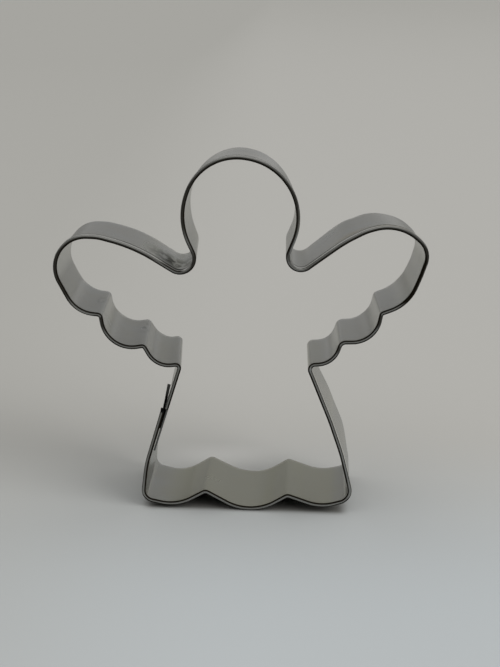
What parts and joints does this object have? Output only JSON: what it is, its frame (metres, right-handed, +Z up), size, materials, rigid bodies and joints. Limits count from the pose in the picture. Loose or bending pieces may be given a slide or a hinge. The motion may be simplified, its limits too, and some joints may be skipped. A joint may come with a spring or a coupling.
{
  "type": "cookie cutter",
  "caption": "Angel-shaped cookie cutter bent from a hemmed stainless steel strip, with scalloped wings and skirt hem, closed by a spot-welded lap.",
  "frame": {"origin": "on the floor under the middle of the cutter, which stands on the scallops of its skirt", "axes": "+X across the wings to the viewer's right, +Y from the folded hem to the cutting edge, +Z up from the skirt to the head"},
  "size_m": [0.0804, 0.025, 0.0794],
  "materials": {
    "stainless_strip": "cold-rolled, semi-bright with faint rolling grain",
    "weld_steel": "pressed matt spot of a resistance weld"
  },
  "bodies": {
    "root": {"cutter_strip": "stainless_strip", "spot_weld_front": "weld_steel", "spot_weld_middle": "weld_steel", "spot_weld_rear": "weld_steel"}
  },
  "joints": []
}
